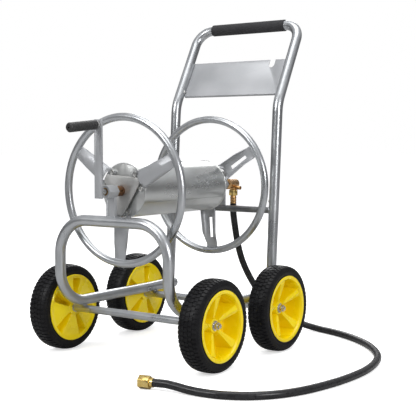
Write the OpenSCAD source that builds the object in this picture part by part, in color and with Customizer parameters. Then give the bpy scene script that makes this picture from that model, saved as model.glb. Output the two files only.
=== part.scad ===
// Garden hose reel cart: a bent-tube cart on four wheels that carries a crank-wound hose reel.
// X runs along the wheel axles, Y from the crank (-Y) to the handle (+Y), Z up from the ground.

/* [Wheels] */
// Outside diameter of a tyre
wheel_d = 254; // [244:2:262]
// Width of a tyre
tyre_w = 64; // [56:1:66]
// Diameter of the plastic rim over its lips
rim_d = 196; // [190:1:200]
// Distance between the middles of a left and a right tyre
track = 540; // [530:2:560]
// Distance between the front and the rear axle
wheelbase = 338; // [320:2:350]
// Diameter of the axle rods
axle_d = 12; // [10:0.5:12]

/* [Frame] */
// Outside diameter of the frame tube
tube_d = 31; // [30:0.5:32]
// Wall thickness of every frame tube
tube_wall = 1.5; // [1.2:0.1:1.8]
// Distance between the middles of the left and the right frame tubes
frame_w = 390; // [380:2:400]
// Height of the front top bar's middle
front_bar_z = 400; // [390:1:405]
// Bend radius of the base frame at the tube's middle
frame_bend = 100; // [80:1:105]
// How far the front legs stand ahead of the front axle
front_reach = 99; // [95:1:110]
// How far the rear posts stand behind the rear axle
rear_reach = 80; // [76:1:90]
// Outside diameter of the axle tubes
axle_tube_d = 22; // [20:0.5:22]

/* [Handle] */
// Backward lean of the rear posts from upright, in degrees
post_lean = 3.8; // [3:0.1:5]
// Length of a rear post from the rail's middle to its joint
post_len = 295; // [285:1:300]
// Distance from the rail's middle to the knee, along the post
knee_len = 586; // [570:1:600]
// Distance from the knee to the handle joint
knee_to_joint = 62; // [60:1:70]
// Lean of the handle from upright, in degrees
handle_lean = 28.5; // [26:0.5:31]
// Length of the handle from its joint to the middle of the grip
handle_len = 227; // [215:1:240]
// Bend radius of the handle corners
handle_bend = 55; // [50:1:65]
// Outside diameter of the foam grip
grip_d = 37; // [35:0.5:40]
// Height of the plate across the handle
plate_h = 127; // [115:1:130]
// Width of the nozzle slot in the plate
slot_w = 20; // [16:0.5:24]
// Place of the nozzle slot to the right of the middle
slot_x = 126; // [110:1:135]

/* [Reel] */
// Height of the reel shaft
reel_z = 484.5; // [480:0.5:490]
// Radius of a reel ring at its tube's middle
ring_r = 204.5; // [195:0.5:206]
// Outside diameter of the ring tube
ring_tube_d = 22; // [20:0.5:23]
// Distance between the two rings
ring_gap = 419; // [410:1:420]
// Outside diameter of the drum
drum_d = 152; // [146:1:156]
// Length of the drum
drum_len = 396; // [386:1:398]
// Diameter of the reel shaft
shaft_d = 16; // [14:0.5:16]

/* [Crank] */
// Distance from the shaft to the crank grip
crank_throw = 182; // [170:1:190]
// Width of the crank arm
arm_w = 26; // [24:0.5:28]
// Diameter of the crank grip
crank_grip_d = 26; // [24:0.5:28]
// Length of the crank grip
crank_grip_len = 104; // [95:1:110]
// Droop of the crank grip below level, in degrees
grip_droop = 5; // [0:0.5:6]

/* [Hose] */
// Outside diameter of the leader hose
hose_d = 21; // [19:0.5:21]

/* [Hidden] */
$fn = 48;
steel = [0.62, 0.63, 0.64];
zinc = [0.78, 0.79, 0.80];
rubber = [0.12, 0.12, 0.12];
yellow = [0.93, 0.80, 0.05];
brass = [0.80, 0.62, 0.30];
bronze = [0.58, 0.34, 0.20];

half_w = frame_w / 2;
tube_r = tube_d / 2;
weld_gap = 0.3;
axle_z = wheel_d / 2;
rail_z = axle_z + axle_tube_d / 2 + weld_gap + tube_r;

// The crank grip's tip and the back of the foam grip decide where Y = 0 lies: half way between them.
// These distances are from the middle of the wheelbase.
foot_from_mid = wheelbase / 2 + rear_reach;
joint_from_mid = foot_from_mid + knee_len * sin(post_lean) + knee_to_joint * sin(handle_lean);
handle_back_from_mid = joint_from_mid + handle_len * sin(handle_lean) + grip_d / 2;
reel_mid_from_mid = -11.5;
arm_t = 6;
arm_from_ring = 97;
collar_t = 8;
grip_start = collar_t + 1;
arm_front_from_mid = reel_mid_from_mid - ring_gap / 2 - arm_from_ring - arm_t;
grip_tip_from_mid = arm_front_from_mid - (grip_start + crank_grip_len) * cos(grip_droop)
    - crank_grip_d / 2 * sin(grip_droop);
mid_y = -(handle_back_from_mid + grip_tip_from_mid) / 2;

front_axle_y = mid_y - wheelbase / 2;
rear_axle_y = mid_y + wheelbase / 2;
leg_y = front_axle_y - front_reach;
foot_y = rear_axle_y + rear_reach;
rail_end_y = foot_y + tube_r + 8;
joint_y = mid_y + joint_from_mid;
joint_z = rail_z + knee_len * cos(post_lean) + knee_to_joint * cos(handle_lean);

// Sleeve joints: the upper tube ends in a reduced spigot that slides into the lower tube
spigot_len = 32;
spigot_d = tube_d - 2 * tube_wall - 0.4;
knee_r = 120;
knee_angle = handle_lean - post_lean;
knee_tangent = knee_r * tan(knee_angle / 2);
screw_r = 2.8;
post_screw_s = post_len - 12;
handle_screw_s = -10;

crossbar_d = 20;
crossbar_z = 409;
crossbar_s = (crossbar_z - rail_z) / cos(post_lean);
crossbar_y = foot_y + crossbar_s * sin(post_lean);

plate_t = 2;
plate_s = -24;
plate_back = 6;
plate_half = half_w - sqrt(pow(tube_r, 2) - pow(plate_back, 2)) - weld_gap;
slot_depth = 28;
grip_half = half_w - handle_bend;

// Wheel: local z is the axle, pointing away from the cart
rim_r = rim_d / 2;
lip_out = tyre_w / 2 + 1.4;
lip_in = tyre_w / 2 + 3.5;
barrel_r = 88;
hub_out = 5;
hub_in = 38;
hub_bore_r = axle_d / 2 + 0.08;
rim_spokes = 5;
washer_t = 2.5;
washer_gap = 0.3;
nut_af = 19;
nut_h = 10;
axle_half = track / 2 + hub_out + washer_gap + washer_t + nut_h + 5.5;
inner_washer_x = track / 2 - hub_in - washer_gap - washer_t;
axle_tube_half = inner_washer_x - washer_gap;
sleeve_len = 20;

// Reel
shaft_r = shaft_d / 2;
drum_r = drum_d / 2;
drum_wall = 1;
reel_y = mid_y + reel_mid_from_mid;
ring_front_y = reel_y - ring_gap / 2;
ring_rear_y = reel_y + ring_gap / 2;
// Heights of the spokes' feet along a spoke's z, which is 0 in the ring's plane and points away
// from the drum; the drum's ends lie a hair below the feet
front_base = -4;
rear_base = -18.7;
foot_gap = 0.3;
drum_front_y = ring_front_y - front_base + foot_gap;
drum_rear_y = drum_front_y + drum_len;
spoke_turn = -3.5;
spoke_angles = [30, 150, 270];
spoke_t = 2;
front_rise = 14;
rear_rise = 20;
arch_in = 70;
arch_out = ring_r - ring_tube_d / 2 - 1.3;
arch_half_in = 27;
arch_half_out = 19.5;
foot_in = 50;
foot_inner = 14.5;
foot_outer = 29;
spoke_bolt_r = 4;
spoke_bolt_at = [60, 22];
spoke_bolt_af = 13;
spoke_slot_len = 63;
spoke_slot_w = 10;
spoke_slot_a = 100;
disc_t = 1.5;
hub_plate_t = 6;
plate_clear = 2.3;
hub_plate_r = 68;
hub_corner = 8.5;

// Bearings and shaft stations along Y
housing_af = 33;
housing_len = 39;
housing_front_y = leg_y - 28;
housing_rear_y = crossbar_y - 10;
rear_housing_len = 26;
bush_r = 11;
bush_flange_r = 17;
bush_flange_t = 3;
hub_front_y = ring_front_y - plate_clear - hub_plate_t;
hub_rear_y = ring_rear_y + plate_clear;
arm_back_y = ring_front_y - arm_from_ring;
arm_front_y = arm_back_y - arm_t;
arm_below = 17.5;
arm_above = 13.5;
pin_r = 5;
collar_af = 20;

// Water way: swivel, hollow shaft, branch pipe and outlet
swivel_y = mid_y + 335;
swivel_front_y = housing_rear_y + rear_housing_len + bush_flange_t + 2;
shaft_rear_y = swivel_y - 7;
branch_y = mid_y + 50;
water_r = 5;
outlet_thread_r = 13.2;
outlet_len = 16;

// Inlet stack under the swivel, and the hose coupling on the ground
inlet_nut_z = reel_z - 38.5;
inlet_nut_h = 17.5;
ferrule_bottom = 419;
coupling_z = 18.2;
coupling_af = 31;
coupling_len = 30;
coupling_turn = atan2(1, 4);
thread_r = 13.3;
thread_len = 17;
pocket_r = 13.9;
tail_len = 8;
neck_len = 7;
neck_r = 9;

// Middle of the hose from the swivel down to the ground and round to the coupling.
// Y is from the middle of the wheelbase.
hose_rest = 10.8;
HOSE_ROUTE = [
    [0, 335, ferrule_bottom], [0, 335, 392], [3, 340, 348], [9, 348, 290], [18, 362, 232],
    [33, 386, 174], [55, 412, 122], [86, 440, 76], [127, 464, 42], [178, 478, 21],
    [235, 478, 12], [290, 463, hose_rest], [345, 440, hose_rest], [398, 409, hose_rest],
    [449, 371, hose_rest], [496, 326, hose_rest], [540, 270, hose_rest], [577, 206, hose_rest],
    [604, 125, hose_rest], [618, 35, hose_rest], [617, -60, hose_rest], [606, -145, hose_rest],
    [585, -230, hose_rest], [552, -300, hose_rest], [505, -352, hose_rest],
    [450, -383, hose_rest], [400, -394, hose_rest], [355, -398, 12.5], [316, -399, 16],
    [286, -401, coupling_z], [254, -409, coupling_z]
];
hose_sides = 10;
hose_steps = 2;

// ---- shared shapes ----

// Straight round tube standing on the origin
module pipe(len, d, wall) {
    difference() {
        cylinder(h = len, d = d);
        translate([0, 0, -1]) cylinder(h = len + 2, d = d - 2 * wall);
    }
}

// Bent round tube, swept about z from the x axis
module pipe_bend(r, angle, d, wall) {
    rotate_extrude(angle = angle) translate([r, 0]) difference() {
        circle(d = d);
        circle(d = d - 2 * wall);
    }
}

// Hexagonal bar with two flats facing up and down when it is laid along Y
module hex_bar(af, len) {
    cylinder(h = len, d = af / cos(30), $fn = 6);
}

// Lays a shape that stands on z along +Y or -Y, at height z and station y
module along_y(y, z) {
    translate([0, y, z]) rotate([-90, 0, 0]) children();
}

module along_minus_y(y, z) {
    translate([0, y, z]) rotate([90, 0, 0]) children();
}

// Frame of a rear post: z runs up the post from the middle of the rail
module at_post(side) {
    translate([side * half_w, foot_y, rail_z]) rotate([-post_lean, 0, 0]) children();
}

// Frame of the handle: z runs up the leaning handle from its joints
module at_handle() {
    translate([0, joint_y, joint_z]) rotate([-handle_lean, 0, 0]) children();
}

// Reduced spigot under a joint, with the shoulder that rests on the lower tube
module spigot() {
    translate([0, 0, -spigot_len]) pipe(spigot_len + 1, spigot_d, tube_wall);
    pipe(2, tube_d, (tube_d - spigot_d) / 2 + tube_wall);
}

// Turns z to the inner side of a left or right tube, where the joint screws go
module inward(side) {
    rotate([0, -side * 90, 0]) children();
}

module screw_hole(side, s) {
    translate([0, 0, s]) inward(side) cylinder(h = tube_d, r = screw_r + 0.2);
}

// ---- frame ----

module base_frame() {
    color(steel) {
        translate([-(half_w - frame_bend), leg_y, front_bar_z]) rotate([0, 90, 0])
            pipe(2 * (half_w - frame_bend), tube_d, tube_wall);
        for (side = [0, 1]) mirror([side, 0, 0]) {
            translate([half_w - frame_bend, leg_y, front_bar_z - frame_bend]) rotate([90, 0, 0])
                pipe_bend(frame_bend, 90, tube_d, tube_wall);
            translate([half_w, leg_y, rail_z + frame_bend])
                pipe(front_bar_z - rail_z - 2 * frame_bend, tube_d, tube_wall);
            translate([half_w, leg_y + frame_bend, rail_z + frame_bend]) rotate([90, 0, 90])
                rotate([0, 0, 180]) pipe_bend(frame_bend, 90, tube_d, tube_wall);
            translate([half_w, leg_y + frame_bend, rail_z]) rotate([-90, 0, 0])
                pipe(rail_end_y - leg_y - frame_bend, tube_d, tube_wall);
        }
    }
}

module axle_tube(y) {
    color(steel) translate([-axle_tube_half, y, axle_z]) rotate([0, 90, 0])
        pipe(2 * axle_tube_half, axle_tube_d, tube_wall);
}

module front_axle_tube() { axle_tube(front_axle_y); }
module rear_axle_tube() { axle_tube(rear_axle_y); }

module rear_post(side) {
    color(steel) difference() {
        at_post(side) pipe(post_len, tube_d, tube_wall);
        at_post(side) screw_hole(side, post_screw_s);
        translate([side * half_w, foot_y - tube_d, rail_z]) rotate([-90, 0, 0])
            cylinder(h = 2 * tube_d, r = tube_r + weld_gap);
    }
}

module left_rear_post() { rear_post(-1); }
module right_rear_post() { rear_post(1); }

module rear_crossbar() {
    color(steel) difference() {
        translate([-half_w, crossbar_y, crossbar_z]) rotate([0, 90, 0])
            pipe(frame_w, crossbar_d, tube_wall);
        for (side = [-1, 1]) at_post(side) translate([0, 0, crossbar_s - tube_d])
            cylinder(h = 2 * tube_d, r = tube_r + weld_gap);
    }
}

// One tube with a gentle knee. The straight lengths run a little way into the bend, whose wall is a
// hair thicker, so that they join cleanly.
module upright(side) {
    lower_len = knee_len - knee_tangent - post_len;
    overlap = 1;
    swell = 0.05;
    color(steel) difference() {
        at_post(side) translate([0, 0, post_len]) {
            spigot();
            pipe(lower_len + overlap, tube_d, tube_wall);
            translate([0, knee_r, lower_len]) rotate([90, 0, 90]) rotate([0, 0, 180 - knee_angle])
                pipe_bend(knee_r, knee_angle, tube_d + 2 * swell, tube_wall + 2 * swell);
            translate([0, knee_r * (1 - cos(knee_angle)), lower_len + knee_r * sin(knee_angle)])
                rotate([-knee_angle, 0, 0]) translate([0, 0, -overlap])
                pipe(knee_to_joint - knee_tangent - weld_gap + overlap, tube_d, tube_wall);
        }
        at_post(side) screw_hole(side, post_screw_s);
        at_handle() translate([side * half_w, 0, 0]) screw_hole(side, handle_screw_s);
    }
}

module left_upright() { upright(-1); }
module right_upright() { upright(1); }

module handle_bar() {
    side_len = handle_len - handle_bend;
    color(steel) at_handle() difference() {
        union() {
            translate([-grip_half, 0, handle_len]) rotate([0, 90, 0])
                pipe(2 * grip_half, tube_d, tube_wall);
            for (side = [0, 1]) mirror([side, 0, 0]) {
                translate([grip_half, 0, side_len]) rotate([90, 0, 0])
                    pipe_bend(handle_bend, 90, tube_d, tube_wall);
                translate([half_w, 0, 0]) {
                    spigot();
                    pipe(side_len, tube_d, tube_wall);
                }
            }
        }
        for (side = [-1, 1]) translate([side * half_w, 0, 0]) screw_hole(side, handle_screw_s);
    }
}

// Flat plate between the handle tubes, with a stiffening lip and an open slot for a nozzle
module nozzle_plate() {
    lip = 10;
    color(steel) at_handle() difference() {
        translate([-plate_half, plate_back, plate_s]) union() {
            cube([2 * plate_half, plate_t, plate_h]);
            cube([2 * plate_half, lip, plate_t]);
        }
        translate([slot_x, 0, plate_s + plate_h - slot_depth + slot_w / 2]) {
            rotate([-90, 0, 0]) cylinder(h = 2 * lip, d = slot_w);
            translate([-slot_w / 2, 0, 0]) cube([slot_w, 2 * lip, slot_depth]);
        }
    }
}

module handle_grip() {
    color(rubber) at_handle() translate([-grip_half, 0, handle_len]) rotate([0, 90, 0])
        pipe(2 * grip_half, grip_d, (grip_d - tube_d) / 2 - 0.15);
}

module joint_screw(side) {
    head_h = 2.6;
    inward(side) {
        translate([0, 0, tube_r + 0.1]) cylinder(h = head_h, r1 = 5.5, r2 = 4);
        translate([0, 0, tube_r - 8]) cylinder(h = 8.2, r = screw_r);
    }
}

module joint_screws() {
    color(zinc) for (side = [-1, 1]) {
        at_post(side) translate([0, 0, post_screw_s]) joint_screw(side);
        at_handle() translate([side * half_w, 0, handle_screw_s]) joint_screw(side);
    }
}

// ---- reel bearings ----

// Hexagonal housing, bored for its bush and turned to a round rim at its start
module bearing_block(len) {
    rim_side = 3;
    difference() {
        intersection() {
            hex_bar(housing_af, len);
            union() {
                cylinder(h = rim_side, r1 = housing_af / 2 - 0.2, r2 = housing_af / 2 + rim_side);
                translate([0, 0, rim_side - 0.1]) cylinder(h = len, r = housing_af);
            }
        }
        translate([0, 0, -1]) cylinder(h = len + 2, r = bush_r);
    }
}

module front_bearing_post() {
    post = [26, 10];
    top_z = reel_z - housing_af / 2;
    color(steel) {
        difference() {
            translate([-post[0] / 2, leg_y - post[1] / 2, front_bar_z])
                cube([post[0], post[1], top_z - front_bar_z]);
            translate([-post[0], leg_y, front_bar_z]) rotate([0, 90, 0])
                cylinder(h = 2 * post[0], r = tube_r + weld_gap);
        }
        along_y(housing_front_y, reel_z) bearing_block(housing_len);
    }
}

module rear_bearing_post() {
    post = [28, 8];
    top_z = reel_z - housing_af / 2;
    color(steel) {
        difference() {
            translate([-post[0] / 2, crossbar_y - post[1] / 2, crossbar_z])
                cube([post[0], post[1], top_z - crossbar_z]);
            translate([-post[0], crossbar_y, crossbar_z]) rotate([0, 90, 0])
                cylinder(h = 2 * post[0], r = crossbar_d / 2 + weld_gap);
        }
        along_y(housing_rear_y, reel_z) bearing_block(rear_housing_len);
    }
}

// Flanged bush; its flange lies at z = 0 and its body runs along +z
module flanged_bush(len) {
    difference() {
        union() {
            cylinder(h = len, r = bush_r - 0.02);
            translate([0, 0, -bush_flange_t]) cylinder(h = bush_flange_t, r = bush_flange_r);
        }
        translate([0, 0, -bush_flange_t - 1])
            cylinder(h = len + bush_flange_t + 2, r = shaft_r + 0.06);
    }
}

module front_bush() {
    color(bronze) along_minus_y(housing_front_y + housing_len, reel_z) flanged_bush(housing_len - 1);
}

module rear_bush() {
    color(bronze) along_minus_y(housing_rear_y + rear_housing_len, reel_z)
        flanged_bush(rear_housing_len);
}

// ---- axles ----

module axle_rod(y) {
    color(zinc) translate([-axle_half, y, axle_z]) rotate([0, 90, 0])
        cylinder(h = 2 * axle_half, d = axle_d);
}

module front_axle() { axle_rod(front_axle_y); }
module rear_axle() { axle_rod(rear_axle_y); }

// Repeats a shape that stands on z at all four wheels, with z pointing out of the cart
module at_axle_ends(x) {
    for (y = [front_axle_y, rear_axle_y]) for (side = [0, 1]) mirror([side, 0, 0])
        translate([x, y, axle_z]) rotate([0, 90, 0]) children();
}

module axle_sleeves() {
    color(zinc) at_axle_ends(axle_tube_half - sleeve_len)
        pipe(sleeve_len, axle_tube_d - 2 * tube_wall - 0.1, (axle_tube_d - 2 * tube_wall - axle_d) / 2 - 0.1);
}

module washer(d) {
    difference() {
        cylinder(h = washer_t, d = d);
        translate([0, 0, -1]) cylinder(h = washer_t + 2, d = axle_d + 0.3);
    }
}

module axle_washers() {
    color(zinc) {
        at_axle_ends(inner_washer_x) washer(26);
        at_axle_ends(track / 2 + hub_out + washer_gap) washer(28);
    }
}

module axle_nuts() {
    color(zinc) at_axle_ends(track / 2 + hub_out + washer_gap + washer_t) difference() {
        hex_bar(nut_af, nut_h);
        translate([0, 0, -1]) cylinder(h = nut_h + 2, d = axle_d + 0.06);
    }
}

// ---- swivel, leader hose and coupling ----

module swivel_elbow() {
    hex_len = 16;
    barrel_end = swivel_y + 14;
    drop_z = reel_z - 20.5;
    cross_z = reel_z - 13.5;
    cross_half = 28;
    color(brass) difference() {
        union() {
            along_y(swivel_front_y, reel_z) hex_bar(32, hex_len);
            along_y(swivel_front_y, reel_z) cylinder(h = barrel_end - swivel_front_y, r = 14.5);
            translate([0, swivel_y, drop_z]) cylinder(h = reel_z - drop_z, r = 11);
            translate([-cross_half, swivel_y, cross_z]) rotate([0, 90, 0])
                cylinder(h = 2 * cross_half, r = 6);
        }
        along_y(swivel_front_y - 1, reel_z)
            cylinder(h = swivel_y + 6 - swivel_front_y + 1, r = shaft_r + 0.06);
        along_y(swivel_front_y - 1, reel_z) cylinder(h = 6, r = bush_r);
        translate([0, swivel_y, drop_z - 1]) cylinder(h = reel_z - drop_z, r = water_r);
        for (side = [0, 1]) mirror([side, 0, 0])
            translate([cross_half - 12, swivel_y, cross_z]) rotate([0, 90, 0])
            cylinder(h = 13, r = 3.6);
    }
}

module swivel_seal() {
    color(rubber) along_y(swivel_front_y + 0.3, reel_z)
        pipe(4, 2 * bush_r - 0.2, bush_r - 0.1 - shaft_r - 0.08);
}

module inlet_nut() {
    color(brass) translate([0, swivel_y, inlet_nut_z]) difference() {
        hex_bar(27, inlet_nut_h);
        translate([0, 0, -1]) cylinder(h = inlet_nut_h + 2, r = water_r);
    }
}

// Crimped sleeve that holds the hose on its tail
module inlet_ferrule() {
    top = inlet_nut_z - weld_gap;
    rib = 4;
    color(brass) translate([0, swivel_y, 0]) difference() {
        union() {
            translate([0, 0, ferrule_bottom]) cylinder(h = top - ferrule_bottom, r = 9.4);
            for (z = [ferrule_bottom + 1 : 2 * rib : top - rib]) translate([0, 0, z])
                cylinder(h = rib, r = 10.4);
        }
        translate([0, 0, ferrule_bottom - 1]) cylinder(h = top - ferrule_bottom + 2, r = water_r);
    }
}

// Point of a smooth curve through the route, a fraction t of the way from point i to the next
function route_point(i) = HOSE_ROUTE[max(0, min(len(HOSE_ROUTE) - 1, i))] + [0, mid_y, 0];
function hose_point(i, t) =
    let (a = route_point(i - 1), b = route_point(i), c = route_point(i + 1), d = route_point(i + 2))
    b + t * (c - a) / 2 + t * t * (2 * a - 5 * b + 4 * c - d) / 2
    + t * t * t * (3 * b - a - 3 * c + d) / 2;
function hose_slope(i, t) = hose_point(i, t + 0.01) - hose_point(i, t - 0.01);
function unit(v) = v / norm(v);
// Level direction across the hose; where the hose drops straight down it is fixed
function across(d) = norm([d[0], d[1]]) < 0.2 * norm(d) ? [0.8, -0.6, 0] : unit([d[1], -d[0], 0]);

module inlet_hose() {
    last = len(HOSE_ROUTE) - 1;
    stations = [
        for (i = [0 : last - 1]) for (k = [0 : hose_steps - 1]) [i, k / hose_steps],
        [last - 1, 1]
    ];
    rings = [
        for (s = stations)
            let (p = hose_point(s[0], s[1]), d = unit(hose_slope(s[0], s[1])))
            let (u = s[0] == 0 ? [0.8, -0.6, 0] : across(d), v = cross(d, u))
            for (k = [0 : hose_sides - 1])
                p + hose_d / 2 * (cos(360 * k / hose_sides) * u + sin(360 * k / hose_sides) * v)
    ];
    count = len(stations);
    sides = [
        for (r = [0 : count - 2]) for (k = [0 : hose_sides - 1])
            let (n = (k + 1) % hose_sides, a = r * hose_sides, b = a + hose_sides)
            each [[a + k, b + k, b + n], [a + k, b + n, a + n]]
    ];
    first_cap = [for (k = [0 : hose_sides - 1]) k];
    last_cap = [for (k = [hose_sides - 1 : -1 : 0]) (count - 1) * hose_sides + k];
    color(rubber) polyhedron(points = rings, faces = concat([first_cap], sides, [last_cap]));
}

// Frame of the coupling: z runs out of the hose's end, level above the ground
module at_coupling() {
    translate(route_point(len(HOSE_ROUTE) - 1)) rotate([0, 0, coupling_turn]) rotate([0, -90, 0])
        children();
}

module hose_tail() {
    color(brass) at_coupling() difference() {
        union() {
            cylinder(h = tail_len, r = 12);
            cylinder(h = tail_len + neck_len + 1, r = neck_r);
            translate([0, 0, tail_len + neck_len]) cylinder(h = 3, r = 12.6);
        }
        translate([0, 0, 1]) cylinder(h = 30, r = 6);
    }
}

// Loose nut: a collar that turns on the tail's neck, a pocket for the washer, and a female thread
module coupling_nut() {
    start = tail_len + 0.4;
    thread_start = coupling_len - thread_len;
    color(brass) at_coupling() translate([0, 0, start]) difference() {
        hex_bar(coupling_af, coupling_len);
        translate([0, 0, -1]) cylinder(h = coupling_len, r = neck_r + 0.06);
        translate([0, 0, neck_len - 0.8]) cylinder(h = thread_start - neck_len + 0.8, r = pocket_r);
        translate([0, 0, thread_start - 0.5]) cylinder(h = thread_len + 1, r = thread_r);
    }
}

module coupling_washer() {
    color(rubber) at_coupling() translate([0, 0, tail_len + neck_len + 3.1])
        pipe(3, 24, 4.5);
}

// ---- reel ----

// Frame of one spoke: x runs out along the spoke, z away from the drum, from the ring's plane
module at_front(angle) {
    along_minus_y(ring_front_y, reel_z) rotate([0, 0, angle]) children();
}

module at_rear(angle) {
    translate([0, 2 * reel_y, 0]) mirror([0, 1, 0]) at_front(angle) children();
}

// Repeats a shape at both bolts of one spoke's foot
module at_spoke_bolts() {
    for (side = [-1, 1]) translate([spoke_bolt_at[0], side * spoke_bolt_at[1], 0]) children();
}

// Outline of half a flattened round, standing on its chord
function arch(half, rise) = [for (a = [0 : 20 : 180]) [half * cos(a), rise * sin(a)]];

// Pressed arm: an arched trough that narrows to the ring, with two flat feet bolted to the drum end
module spoke(base, rise, slotted) {
    len = arch_out - arch_in;
    foot_join = 4;
    cut = 0.01;
    difference() {
        translate([0, 0, base]) union() {
            intersection() {
                translate([arch_in, 0, 0]) rotate([90, 0, 90]) linear_extrude(len) difference() {
                    polygon(arch(arch_half_in, rise));
                    translate([0, -cut]) polygon(arch(arch_half_in - spoke_t, rise - spoke_t));
                }
                translate([0, 0, -1]) linear_extrude(rise + 2) polygon([
                    [arch_in - 1, -arch_half_in - 1], [arch_out + 1, -arch_half_out],
                    [arch_out + 1, arch_half_out], [arch_in - 1, arch_half_in + 1]
                ]);
            }
            for (side = [-1, 1]) translate([foot_in, side < 0 ? -foot_outer : foot_inner, 0])
                cube([arch_in + foot_join - foot_in, foot_outer - foot_inner, spoke_t]);
        }
        translate([0, 0, base - 1]) at_spoke_bolts() cylinder(h = spoke_t + 2, r = spoke_bolt_r + 0.15);
        if (slotted) for (end = [spoke_slot_w / 2, spoke_slot_len - spoke_slot_w / 2])
            translate([spoke_slot_a + end, 0, base + rise / 2]) cylinder(h = rise, d = spoke_slot_w);
        if (slotted) translate([spoke_slot_a + spoke_slot_w / 2, -spoke_slot_w / 2, base + rise / 2])
            cube([spoke_slot_len - spoke_slot_w, spoke_slot_w, rise]);
    }
}

module front_spoke(i) {
    color(steel) at_front(spoke_angles[i] + spoke_turn) spoke(front_base, front_rise, false);
}

module rear_spoke(i) {
    color(steel) at_rear(spoke_angles[i] - spoke_turn) spoke(rear_base, rear_rise, true);
}

module front_spoke_1() { front_spoke(0); }
module front_spoke_2() { front_spoke(1); }
module front_spoke_3() { front_spoke(2); }
module rear_spoke_1() { rear_spoke(0); }
module rear_spoke_2() { rear_spoke(1); }
module rear_spoke_3() { rear_spoke(2); }

module ring(y) {
    color(steel) along_y(y, reel_z)
        pipe_bend(ring_r, 360, ring_tube_d, tube_wall);
}

module front_ring() { ring(ring_front_y); }
module rear_ring() { ring(ring_rear_y); }

module drum_shell() {
    color(zinc) difference() {
        along_y(drum_front_y, reel_z) pipe(drum_len, drum_d, drum_wall);
        translate([0, branch_y, reel_z]) rotate([0, -90, 0]) cylinder(h = drum_d, r = 12.2);
    }
}

// End disc, bolted to the feet of the three spokes
module drum_end(base) {
    translate([0, 0, base - foot_gap - disc_t]) difference() {
        cylinder(h = disc_t, r = drum_r - drum_wall - 0.1);
        translate([0, 0, -1]) cylinder(h = disc_t + 2, r = shaft_r + 0.1);
        for (angle = spoke_angles) rotate([0, 0, angle]) translate([0, 0, -1]) at_spoke_bolts()
            cylinder(h = disc_t + 2, r = spoke_bolt_r + 0.15);
    }
}

module front_drum_end() { color(zinc) at_front(spoke_turn) drum_end(front_base); }
module rear_drum_end() { color(zinc) at_rear(-spoke_turn) drum_end(rear_base); }

// Triangular plate with cut corners that points along the spokes
module hub_plate() {
    points = [
        for (angle = spoke_angles) for (s = [-1, 1])
            [hub_plate_r * cos(angle) - s * hub_corner * sin(angle),
             hub_plate_r * sin(angle) + s * hub_corner * cos(angle)]
    ];
    linear_extrude(hub_plate_t) difference() {
        polygon(points);
        circle(r = shaft_r);
    }
}

module front_hub_plate() {
    color(steel) translate([0, -plate_clear, 0]) at_front(spoke_turn) hub_plate();
}

module rear_hub_plate() {
    color(steel) translate([0, plate_clear, 0]) at_rear(-spoke_turn) hub_plate();
}

// Bolt through a spoke's foot and the drum end, with its nut inside the drum
module spoke_bolt(base) {
    head_h = 4;
    nut_t = 6;
    nut_top = base - foot_gap - disc_t - 0.1;
    translate([0, 0, base + spoke_t + 0.1]) hex_bar(spoke_bolt_af, head_h);
    translate([0, 0, nut_top - nut_t - 2]) cylinder(h = base + spoke_t - nut_top + nut_t + 3, r = spoke_bolt_r);
    translate([0, 0, nut_top - nut_t]) difference() {
        hex_bar(spoke_bolt_af, nut_t);
        translate([0, 0, -1]) cylinder(h = nut_t + 2, r = spoke_bolt_r + 0.05);
    }
}

module spoke_bolts() {
    color(zinc) for (angle = spoke_angles) {
        at_front(angle + spoke_turn) at_spoke_bolts() spoke_bolt(front_base);
        at_rear(angle - spoke_turn) at_spoke_bolts() spoke_bolt(rear_base);
    }
}

// Solid at the crank, hollow from the drum back to the swivel
module reel_shaft() {
    color(zinc) difference() {
        along_y(arm_back_y, reel_z) cylinder(h = shaft_rear_y - arm_back_y, r = shaft_r);
        along_y(branch_y - 8, reel_z) cylinder(h = shaft_rear_y - branch_y + 9, r = water_r);
        translate([0, branch_y, reel_z]) rotate([0, -90, 0]) cylinder(h = drum_r, r = water_r - 0.5);
    }
}

// Spacer on the shaft between the bush and the hub plate, with a hole for its set screw
module shaft_collar() {
    collar_r = 14.5;
    screw_hole_r = 3.5;
    front_y = housing_front_y + housing_len + bush_flange_t + 1;
    len = hub_front_y - front_y;
    color(bronze) difference() {
        along_y(front_y, reel_z) cylinder(h = len, r = collar_r);
        along_y(front_y - 1, reel_z) cylinder(h = len + 2, r = shaft_r);
        translate([shaft_r + 1, front_y + len / 2, reel_z]) rotate([0, 90, 0])
            cylinder(h = collar_r, r = screw_hole_r);
    }
}

module water_pipe() {
    color(brass) translate([-shaft_r - 0.4, branch_y, reel_z]) rotate([0, -90, 0])
        pipe(52, 14, 2.5);
}

module outlet_fitting() {
    hex_x = drum_r + 0.4;
    hex_len = 10;
    color(brass) translate([0, branch_y, reel_z]) rotate([0, -90, 0]) difference() {
        union() {
            translate([0, 0, shaft_r + 53]) cylinder(h = hex_x - shaft_r - 53 + 1, r = 12);
            translate([0, 0, hex_x]) hex_bar(28, hex_len);
            translate([0, 0, hex_x + hex_len]) cylinder(h = outlet_len, r = outlet_thread_r);
        }
        translate([0, 0, shaft_r + 52]) cylinder(h = 60, r = 8);
    }
}

// ---- crank ----

// Frame of the crank pin: z runs out of the arm along the drooping grip
module at_pin() {
    translate([0, arm_front_y, reel_z + crank_throw]) rotate([90 + grip_droop, 0, 0]) children();
}

module crank_arm() {
    color(steel) difference() {
        translate([-arm_w / 2, arm_front_y, reel_z - arm_below])
            cube([arm_w, arm_t, arm_below + crank_throw + arm_above]);
        at_pin() translate([0, 0, -2 * arm_t]) cylinder(h = 3 * arm_t, r = pin_r + 0.1);
    }
}

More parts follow.
